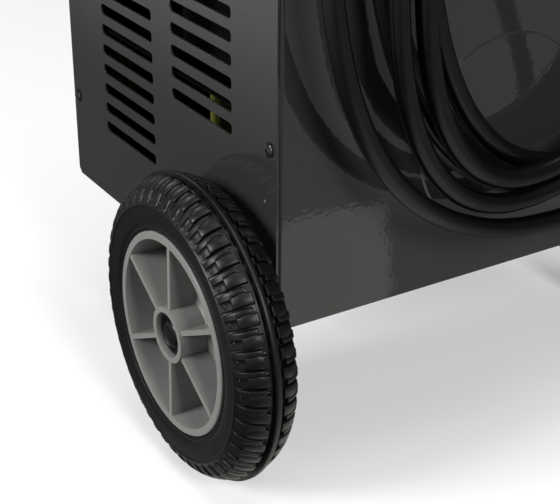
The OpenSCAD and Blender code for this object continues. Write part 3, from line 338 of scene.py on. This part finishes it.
def make_tyre(name, outer):
    """A block-treaded tyre: one grid, wrapped round the wheel and let in where the tread is."""
    half = tread_rows()
    rows = [(-1, row) for row in reversed(half)] + [(1, row) for row in half[1:]]
    count = len(ARCS) * LUGS
    piece = begin("grid", name, x_subdivisions=count, y_subdivisions=len(rows), size=1)
    up_arcs = [0.0] + [PITCH - arc for arc in reversed(ARCS[1:])]
    # The rib's own row lies half way between the two halves' rows
    middle = math.radians(GROOVE_AT[1] - GROOVE_AT[-1]) / 2 * CROWN
    spots = []
    for side, row in rows + rows[:1]:
        out, x, up, nx, nz, _, _ = row
        shift = RIB_LEAN * max(0, 1 - out / RIB_LEAN_END)
        for step in range(count + 1):
            lug, slot = divmod(step, len(ARCS))
            if side > 0:
                at, along = up_arcs[slot], (PITCH - up_arcs[slot]) % PITCH
                at += sipe_shift(along, out)
            else:
                at = along = ARCS[slot]
                at -= sipe_shift(along, out)
            start = GROOVE_AT[side]
            if out == 0:
                at = (up_arcs[slot] + ARCS[slot]) / 2 + middle
                start = GROOVE_AT[-1]
            turn = math.radians(start) + at / CROWN + lug * 2 * math.pi / LUGS
            deep = tread_depth(along, row)
            r = (up - nz * deep) * MM
            spots.append((outer * (WHEEL_X + (side * (x - nx * deep) + shift) * MM),
                          AXLE_Y + outer * r * math.cos(turn), AXLE_Z + r * math.sin(turn)))
    piece.data.vertices.foreach_set("co", [value for spot in spots for value in spot])
    nub = begin("uv_sphere", "shoulder_nub", segments=10, ring_count=6, radius=NUB_R * MM)
    nubs = []
    for side in (1, -1):
        for lug in range(LUGS):
            turn = (math.radians(GROOVE_AT[side]) - side * NUB_ARC / CROWN
                    + lug * 2 * math.pi / LUGS)
            place = (Matrix.Translation((outer * (WHEEL_X + side * NUB_X * MM), AXLE_Y, AXLE_Z))
                     @ Matrix.Rotation(outer * turn, 4, "X")
                     @ Matrix.Translation((0, outer * NUB_UP * MM, 0))
                     @ Matrix.Diagonal(NUB_STRETCH))
            nubs.append(copied(nub, "nub", place))
    bpy.data.objects.remove(nub)
    cleaned(piece)
    joined([piece] + nubs, name)
    only(piece)
    bpy.ops.object.shade_smooth()
    return piece


# ------------------------------------------------------------ small pieces

SCREW_R, SCREW_H, SHANK_R, SHANK_LONG = 4.6, 2.8, 2.0, 7.0
# Side screws as (back, up), the others as (sideways, up), in millimetres
SIDE_SCREWS = ((-142, 187), (-142, 381), (-142, 575), (142, 242), (142, 408.5), (142, 575))
LID_SCREWS = ((-130, 608), (130, 608))
SADDLE_SCREWS = ((-37, 509.05), (-23, 544.05), (37, 509.05), (23, 544.05))
PLATE_SCREWS = ((-61, 519), (-61, 571), (61, 519), (61, 571), (25.03, 315.08), (-25.03, 315.08),
                (-25.03, 265.02), (25.03, 265.02))


def screw_places():
    """Where each screw stands: a matrix from its own frame, with its head upwards, in millimetres."""
    places = []
    for back, up in SIDE_SCREWS:
        for side in (1, -1):
            places.append(((side * 175, back, up), ("Y", side * 90)))
    for x, up in LID_SCREWS:
        for side in (1, -1):
            places.append(((x, side * 151.8, up), ("X", -side * 90)))
    places += [((x, 152, up), ("X", -90)) for x, up in SADDLE_SCREWS]
    places += [((x, -152.5, up), ("X", 90)) for x, up in PLATE_SCREWS]
    return [Matrix.Translation(Vector(place) * MM) @ Matrix.Rotation(math.radians(turn), 4, axis)
            for place, (axis, turn) in places]


def make_screw():
    """A pan head screw with a cross recess: a domed disc on its shank, the cross sunk into it."""
    crown = 1.2 * SCREW_R + SCREW_H
    head = begin("uv_sphere", "pan_screw", segments=40, ring_count=60, radius=crown * MM,
                 location=(0, 0, -1.2 * SCREW_R * MM))
    only(head)
    bpy.ops.object.mode_set(mode="EDIT")
    bpy.ops.mesh.select_all(action="SELECT")
    bpy.ops.mesh.bisect(plane_co=(0, 0, 0), plane_no=(0, 0, 1), clear_inner=True, use_fill=True)
    bpy.ops.object.mode_set(mode="OBJECT")
    edge = begin("cylinder", "head_edge", vertices=40, radius=SCREW_R * MM, depth=0.02)
    trim(head, edge, "INTERSECT")
    for turn in (0, 90):
        wing = begin("cone", "cross_wing", vertices=4, radius1=0.4 * MM, radius2=2.9 * MM,
                     depth=2.6 * MM, location=(0, 0, (SCREW_H - 0.85) * MM),
                     rotation=(0, 0, math.radians(45)))
        wing.data.transform(Matrix.Rotation(math.radians(turn), 4, "Z")
                            @ Matrix.Diagonal((1, 0.3, 1, 1)))
        trim(head, wing, "DIFFERENCE")
    finish_with(head, "BEVEL", width=0.16 * MM, segments=2, limit_method="ANGLE",
                angle_limit=math.radians(40))
    shank = begin("cylinder", "shank", vertices=20, radius=SHANK_R * MM,
                  depth=SHANK_LONG * MM, location=(0, 0, -SHANK_LONG / 2 * MM))
    finish_with(shank, "BEVEL", width=0.4 * MM, segments=1, limit_method="ANGLE")
    return smoothed(joined([head, shank], "pan_screw"), 40)


def trim(piece, tool, operation):
    """Cuts a piece with a tool, or keeps what both hold, and throws the tool away."""
    finish_with(piece, "BOOLEAN", object=tool, operation=operation, solver="EXACT")
    bpy.data.objects.remove(tool)


def make_screws():
    screw = make_screw()
    # Each cross stands at its own angle, as a driver leaves it
    heads = [copied(screw, "pan_screw", place @ Matrix.Rotation(0.9 * k * k + 0.35, 4, "Z"))
             for k, place in enumerate(screw_places())]
    bpy.data.objects.remove(screw)
    return joined(heads, "cross_head_screws")


def make_axle_cap(side):
    """The hub's cap: a rolled outer ring, a sunk ring and a domed button in the middle."""
    foot = WHEEL_X + 0.0135
    cap = begin("cylinder", "axle_cap", vertices=64, radius=14.55 * MM, depth=5.2 * MM,
                end_fill_type="NGON", rotation=(0, math.radians(90), 0),
                location=(foot + 2.6 * MM, AXLE_Y, AXLE_Z))
    choose(cap, lambda middle, normal: normal.x > 0.9)
    for inset, push in ((2.2, 0), (0.5, -1.6), (2.2, 0), (0.4, 2.2), (0.8, 0.7), (2.2, 0.8),
                        (2.6, 0.35)):
        bpy.ops.mesh.inset(thickness=inset * MM)
        if push:
            bpy.ops.transform.translate(value=(push * MM, 0, 0))
    bpy.ops.object.mode_set(mode="OBJECT")
    finish_with(cap, "BEVEL", width=0.5 * MM, segments=3, limit_method="ANGLE",
                angle_limit=math.radians(40))
    smoothed(cap, 60)
    if side < 0:
        cap.data.transform(Matrix.Translation((0, 2 * AXLE_Y, 0))
                           @ Matrix.Rotation(math.pi, 4, "Z"))
    return cap


def make_strain_relief():
    """A tapered rubber boot with ribs round the lead, standing in the gland's nose."""
    boot_long, foot_thick, ribs = 26.0, 1.0, 6
    foot = at_back((GLAND_NOSE[0], 8.5, GLAND_NOSE[2]))
    boot = begin("cylinder", "lead_boot", vertices=40, radius=10.0 * MM, depth=foot_thick * MM,
                 rotation=(math.radians(-90), 0, 0), location=foot)
    choose(boot, lambda middle, normal: normal.y > 0.9)
    step = (boot_long - foot_thick) / (2 * ribs)
    middle = at_back((GLAND_NOSE[0], 0, GLAND_NOSE[2]))
    for k in range(2 * ribs):
        shrink = 0.935 if k % 2 else 0.95
        bpy.ops.mesh.extrude_region_move(TRANSFORM_OT_translate={"value": (0, step * MM, 0)})
        if k % 2 == 0 and k:
            bpy.ops.transform.resize(value=(shrink, 1, shrink), center_override=middle)
        elif k % 2:
            bpy.ops.mesh.inset(thickness=0.25 * MM)
    bpy.ops.object.mode_set(mode="OBJECT")
    finish_with(boot, "BEVEL", width=0.3 * MM, segments=2, limit_method="ANGLE",
                angle_limit=math.radians(30))
    return smoothed(boot, 50)


# ------------------------------------------------------------ finishes

class Level:
    """A number that varies over a surface. Arithmetic on it adds Math nodes."""

    def __init__(self, finish, socket):
        self.finish = finish
        self.socket = socket

    def maths(self, operation, *others, clamp=False):
        inputs = dict(enumerate((self, *others)))
        return self.finish.add("ShaderNodeMath", {"operation": operation, "use_clamp": clamp},
                               inputs)

    def __add__(self, other):
        return self.maths("ADD", other)

    def __sub__(self, other):
        return self.maths("SUBTRACT", other)

    def __mul__(self, other):
        return self.maths("MULTIPLY", other)

    def __rsub__(self, other):
        return (self * -1).maths("ADD", other)

    __radd__ = __add__
    __rmul__ = __mul__

    def clamped(self):
        return self.maths("ADD", 0, clamp=True)


class Finish:
    """A material in the making: its node tree, its Principled shader and what feeds it."""

    def __init__(self, name, colour, roughness, metallic=0.0, **fixed):
        self.material = bpy.data.materials.new(name)
        self.material.use_nodes = True
        self.tree = self.material.node_tree
        self.shader = self.tree.nodes["Principled BSDF"]
        self.colour = colour
        self.set("Base Color", (*colour, 1))
        self.set("Roughness", roughness)
        self.set("Metallic", metallic)
        for socket, value in fixed.items():
            self.set(socket.replace("_", " "), value)
        self.place = self.add("ShaderNodeTexCoord", output="Object")
        self.height = None

    def set(self, socket, value):
        self.shader.inputs[socket].default_value = value

    def add(self, kind, settings=None, inputs=None, output=0):
        """A node of this kind, its settings first and then its sockets' values or links."""
        node = self.tree.nodes.new(kind)
        for name, value in (settings or {}).items():
            setattr(node, name, value)
        for name, value in (inputs or {}).items():
            if isinstance(value, Level):
                self.tree.links.new(value.socket, node.inputs[name])
            else:
                node.inputs[name].default_value = value
        return Level(self, node.outputs[output])

    def feed(self, socket, level):
        self.tree.links.new(level.socket, self.shader.inputs[socket])

    def stretched(self, scale):
        return self.add("ShaderNodeMapping", inputs={"Vector": self.place, "Scale": scale})

    def noise(self, scale, detail=3.0, roughness=0.5, place=None):
        return self.add("ShaderNodeTexNoise", inputs={
            "Vector": place or self.place, "Scale": scale, "Detail": detail,
            "Roughness": roughness})

    def between(self, level, low, high):
        """0 below low, 1 above high, and eased in between."""
        return self.add("ShaderNodeMapRange", {"interpolation_type": "SMOOTHSTEP"},
                        {"Value": level, "From Min": low, "From Max": high})

    def mixed(self, factor, first, second):
        """A colour between two, by a level."""
        return self.add("ShaderNodeMix", {"data_type": "RGBA"},
                        {0: factor, 6: (*first, 1), 7: (*second, 1)}, output=2)

    def tinted(self, factor, second):
        """The base colour turns to a second one where the level is 1."""
        self.feed("Base Color", self.mixed(factor, self.colour, second))

    def roughened(self, level, low, high):
        self.feed("Roughness", level * (high - low) + low)

    def bump(self, level, depth):
        """Relief of this depth in metres, on top of any other."""
        inputs = {"Height": level, "Distance": depth, "Strength": 1.0}
        if self.height:
            inputs["Normal"] = self.height
        self.height = self.add("ShaderNodeBump", inputs=inputs)
        self.feed("Normal", self.height)


def powder_coat(name, colour, roughness=0.035):
    """Glossy baked paint over sheet steel: orange peel that only bends its reflections."""
    coat = Finish(name, colour, roughness, IOR=1.5)
    peel = coat.noise(260, 2)
    sway = coat.noise(28, 1)
    cloud = coat.noise(9, 4)
    coat.bump(sway, 0.00012)
    coat.bump(peel, 0.00005)
    coat.roughened(cloud, roughness - 0.015, roughness + 0.02)
    coat.tinted(cloud, [c * 1.15 for c in colour])
    return coat.material


def moulded(name, colour, roughness=0.5, grain=1400, depth=0.00003, shine=0.5):
    """Moulded plastic with a fine spark-eroded grain and faint flow clouds."""
    plastic = Finish(name, colour, roughness, IOR=1.5, Specular_IOR_Level=shine)
    plastic.bump(plastic.noise(grain, 3), depth)
    cloud = plastic.noise(30, 3)
    plastic.tinted(cloud, [c * 0.8 for c in colour])
    plastic.roughened(cloud, roughness - 0.06, roughness + 0.08)
    return plastic.material


def rubber_finish(name, colour, roughness=0.6, dust=(0.05, 0.048, 0.043)):
    """Black rubber with a fine skin texture and a trace of dust in patches."""
    rubber = Finish(name, colour, roughness, IOR=1.52, Specular_IOR_Level=0.24)
    rubber.bump(rubber.noise(900, 4), 0.00005)
    patches = rubber.between(rubber.noise(14, 5), 0.45, 0.8) * 0.35
    rubber.tinted(patches, dust)
    rubber.roughened(rubber.noise(60, 4), roughness - 0.08, roughness + 0.1)
    return rubber.material


def metal_finish(name, colour, roughness=0.3, grain=(40, 40, 900), blotch=0.15):
    """Bare or plated metal with fine drawn lines and slight clouding."""
    metal = Finish(name, colour, roughness, 1.0)
    lines = metal.noise(1, 3, place=metal.stretched(grain))
    cloud = metal.noise(45, 4)
    metal.bump(lines, 0.00002)
    metal.roughened(lines * 0.5 + cloud * 0.5, roughness - 0.08, roughness + 0.12)
    metal.tinted(cloud * blotch, [c * 0.6 for c in colour])
    return metal.material


def filter_finish():
    """Resin-bonded filter paper: a felt of fibres, dusty in patches."""
    paper = Finish("filter_paper", (0.34, 0.36, 0.08), 0.85, IOR=1.4)
    fibres = paper.noise(1, 5, 0.7, paper.stretched((1500, 1500, 500)))
    dust = paper.between(paper.noise(25, 5), 0.4, 0.75)
    paper.bump(fibres, 0.0001)
    paper.tinted(dust * 0.35, (0.2, 0.2, 0.08))
    return paper.material


def lens_finish(name, colour):
    """A clear tinted lens with moulded ribs under its surface."""
    lens = Finish(name, colour, 0.12, IOR=1.5, Coat_Weight=0.5)
    ribs = lens.noise(1, 1, place=lens.stretched((600, 10, 10)))
    lens.bump(ribs, 0.0001)
    lens.tinted(ribs, [c * 0.6 for c in colour])
    return lens.material


def make_finishes():
    return {
        "grey_paint": powder_coat("grey_paint", (0.0225, 0.0233, 0.0228)),
        "black_paint": powder_coat("black_paint", (0.004, 0.004, 0.004), 0.1),
        "black_steel": powder_coat("black_steel", (0.008, 0.008, 0.008), 0.2),
        "dull_black": moulded("dull_black", (0.002, 0.002, 0.002), 0.85, shine=0.03),
        "zinc": metal_finish("zinc", (0.62, 0.63, 0.65)),
        # Painted shade: bare steel is given a near-black colour so that the parts inside stay dark
        # behind the slots
        "bare_steel": metal_finish("bare_steel", (0.025, 0.025, 0.025), 0.6, (60, 60, 60), 0.5),
        "bearing_steel": metal_finish("bearing_steel", (0.6, 0.6, 0.62), 0.22),
        # Painted shade: the alloy shells are near-black and rough so that they stay dark behind the
        # slots
        "alloy": metal_finish("alloy", (0.012, 0.012, 0.0125), 0.7),
        "brass": metal_finish("brass", (0.75, 0.62, 0.35), 0.25),
        "tyre": rubber_finish("tyre", (0.003, 0.003, 0.0029), 0.4, (0.008, 0.0075, 0.0068)),
        "rubber": rubber_finish("rubber", (0.013, 0.013, 0.013), 0.66),
        "cable_rubber": rubber_finish("cable_rubber", (0.0018, 0.0018, 0.0017), 0.3,
                                      (0.004, 0.0038, 0.0034)),
        "grey_nylon": moulded("grey_nylon", (0.21, 0.213, 0.202), 0.34, 900, 0.00002),
        "black_plastic": moulded("black_plastic", (0.0035, 0.0035, 0.0035), 0.3, shine=0.3),
        "white_plastic": moulded("white_plastic", (0.7, 0.7, 0.67)),
        "red_plastic": moulded("red_plastic", (0.42, 0.012, 0.012), 0.25, 600, 0.00001),
        "amber_lens": lens_finish("amber_lens", (0.8, 0.3, 0.02)),
        "filter_paper": filter_finish(),
    }


def dress(piece, finish):
    piece.data.materials.clear()
    piece.data.materials.append(finish)


# ------------------------------------------------------------ floor and light

FLOOR_BOUNCE = 0.24
FLOOR_SEEN = 0.55
FLOOR_GLOW = 0.36
# What gloss sees, painted in for reflections only: the floor a little brighter behind the machine,
# painted shade beside it, and a bright painted pool
PAINTED_GLOSS_BEHIND = 0.05
PAINTED_GLOSS_BESIDE = -0.23
PAINTED_POOL_GLOW, PAINTED_POOL_TINT = 0.6, (1, 0.96, 0.86)
# The painted pool's left side runs through the first place at this slant, its far side through the
# second
POOL_LEFT_AT, POOL_LEFT_SLANT = (-0.163, 0.487), (0.835, 0.55)
POOL_FAR_AT, POOL_FAR_SLOPE = (-0.052, 0.505), 0.162
SKY = 0.1


def add_floor():
    """A wide floor, white to the eye. Gloss sees painted reflections: a bright glowing pool behind
    the machine, grey round it, painted shade beside it and a painted glow further out.
    """
    bpy.ops.mesh.primitive_plane_add(size=40, location=(0, 0, 0))
    floor = bpy.context.object
    floor.name = "studio_floor"
    white = Finish("floor_white", (FLOOR_SEEN,) * 3, 0.9, Specular_IOR_Level=0)
    camera, glossy, through = (white.add("ShaderNodeLightPath", output=name) for name in
                               ("Is Camera Ray", "Is Glossy Ray", "Is Transmission Ray"))
    x, y = (white.add("ShaderNodeSeparateXYZ", inputs={"Vector": white.place}, output=axis)
            for axis in ("X", "Y"))
    # Painted reflection: a pool that glows only for gloss rays, so the rear panel shows a bright
    # patch; the ripple wobbles its edges
    ripple = white.noise(14, 3) * 0.03
    left = ((x - POOL_LEFT_AT[0]) * POOL_LEFT_SLANT[0]
            + (y - POOL_LEFT_AT[1]) * POOL_LEFT_SLANT[1] + ripple)
    far = (y - POOL_FAR_AT[1]) - (x - POOL_FAR_AT[0]) * POOL_FAR_SLOPE + ripple
    painted_pool = (white.between(left, 0.016, 0.024) * white.between(far, 0.013, 0.007)
            * white.between(x, 0.26, 0.2))
    # Painted reflection: far out beside the machine the floor glows for gloss rays, so the side panel
    # shows a brighter reflection
    painted_far_glow = white.between(x, 0.4, 0.85) * 1.05
    # Painted shade in reflections: beside the machine gloss rays see a much darker floor, and behind
    # it a little brighter one
    painted_shade_beside = white.between(x, 0.18, 0.28)
    white.feed("Base Color", FLOOR_BOUNCE + camera * (FLOOR_SEEN - FLOOR_BOUNCE)
               + glossy * (PAINTED_GLOSS_BEHIND + painted_shade_beside * PAINTED_GLOSS_BESIDE))
    glow = white.add("ShaderNodeEmission", inputs={
        "Color": white.mixed(glossy * painted_pool, (1, 1, 1), PAINTED_POOL_TINT),
        "Strength": ((camera + through).clamped() * FLOOR_GLOW
                     + glossy * (painted_pool + painted_far_glow).clamped() * PAINTED_POOL_GLOW)})
    both = white.add("ShaderNodeAddShader", inputs={1: glow})
    tree = white.tree
    tree.links.new(white.shader.outputs[0], both.socket.node.inputs[0])
    tree.links.new(both.socket, tree.nodes["Material Output"].inputs["Surface"])
    dress(floor, white.material)


def add_lamp(name, place, target, size, watts):
    data = bpy.data.lights.new(name, "AREA")
    data.shape = "RECTANGLE"
    data.size, data.size_y = size
    data.energy = watts
    lamp = bpy.data.objects.new(name, data)
    lamp.location = place
    aim = Vector(target) - Vector(place)
    lamp.rotation_euler = aim.to_track_quat("-Z", "Y").to_euler()
    bpy.context.collection.objects.link(lamp)


def add_light():
    """Four soft boxes round the machine, and a dim sky that is white to the camera."""
    world = bpy.data.worlds.new("studio")
    bpy.context.scene.world = world
    world.use_nodes = True
    sky = world.node_tree.nodes["Background"]
    sky.inputs["Color"].default_value = (1, 1, 1, 1)
    tree = world.node_tree
    path = tree.nodes.new("ShaderNodeLightPath")
    strength = tree.nodes.new("ShaderNodeMath")
    strength.operation = "MULTIPLY_ADD"
    strength.inputs[1].default_value = 1 - SKY
    strength.inputs[2].default_value = SKY
    tree.links.new(path.outputs["Is Camera Ray"], strength.inputs[0])
    tree.links.new(strength.outputs[0], sky.inputs["Strength"])
    middle = (0.15, 0.05, 0.2)
    add_lamp("side_light", (2.4, -0.1, 1.3), middle, (0.9, 0.9), 74)
    add_lamp("back_light", (0.3, 2.7, 1.8), middle, (0.9, 0.9), 64)
    add_lamp("top_light", (-0.1, 0.3, 3.0), middle, (2.0, 2.0), 50)
    add_lamp("front_light", (0.35, -2.3, 1.9), middle, (0.8, 0.6), 14)
    bpy.context.scene.view_settings.view_transform = "Standard"


# ------------------------------------------------------------ the whole machine

# Nodes whose edges are rounded, by this much in millimetres
SOFT_EDGES = {
    "right_side_panel": 0.3, "left_side_panel": 0.3, "rear_panel": 0.3, "front_panel": 0.3,
    "top_cover": 0.4, "base_pan": 0.3, "axle_brackets": 0.6, "cable_saddle": 0.5,
    "right_leg": 0.5, "left_leg": 0.5, "rubber_feet": 0.8, "frame_bolts": 0.3,
    "handle_bolts": 0.3, "handle_spacers": 0.3, "tube_plugs": 0.6, "handle_grip": 0.5,
    "right_rim": 0.8, "left_rim": 0.8, "cable_gland": 0.6, "gland_locknut": 0.4,
    "plug_body": 1.0, "plug_pins": 0.4, "terminal_block": 0.6, "hose_spigot": 0.5,
    "outlet_manifold": 0.6, "control_plate": 0.5, "switch_bodies": 0.4, "right_rocker": 0.6,
    "left_rocker": 0.6, "reset_button": 0.5, "pilot_lamp": 0.5, "filter_caps": 0.8,
    "right_motor_shell": 0.6, "left_motor_shell": 0.6, "motor_deck": 0.4,
}


def body_of(node):
    return next(body for body, members in frame["record"]["behaviour"]["bodies"].items()
                if node in members)


def place_piece(piece, node, finish=None):
    """A new piece stands for a node: it takes its finish and rides on its body."""
    slot = finish or slots[node]
    dress(piece, finishes[slot])
    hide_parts(node)
    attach(piece, body_of(node))


add_camera()
supply_cable, cable_points = add_cable()
finishes = make_finishes()
slots = {subpart["node"]: subpart["material_slot"] for subpart in frame["record"]["subparts"]}
for node, slot in slots.items():
    dress(nodes[node], finishes[slot])

dress(supply_cable, finishes["cable_rubber"])
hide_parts("cable_lead", "cable_loops", "cable_tail")
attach(supply_cable, "chassis")

for node, width in SOFT_EDGES.items():
    place_piece(softened(node, width, 3 if "rim" in node else 2), node)
# Painted shade: the deck is dressed near-black with almost no shine, so it shows only as a dark edge
# behind the slots
dress(bpy.data.objects["motor_deck_soft"], finishes["dull_black"])
for node, outer in (("right_tyre", 1), ("left_tyre", -1)):
    place_piece(make_tyre(node + "_treaded", outer), node)
place_piece(make_screws(), "panel_screws")
place_piece(softened("corner_rivets", 0.4), "corner_rivets", "grey_paint")
for side in (1, -1):
    place_piece(make_axle_cap(side), "axle_caps")
place_piece(make_strain_relief(), "strain_relief")
add_floor()
add_light()
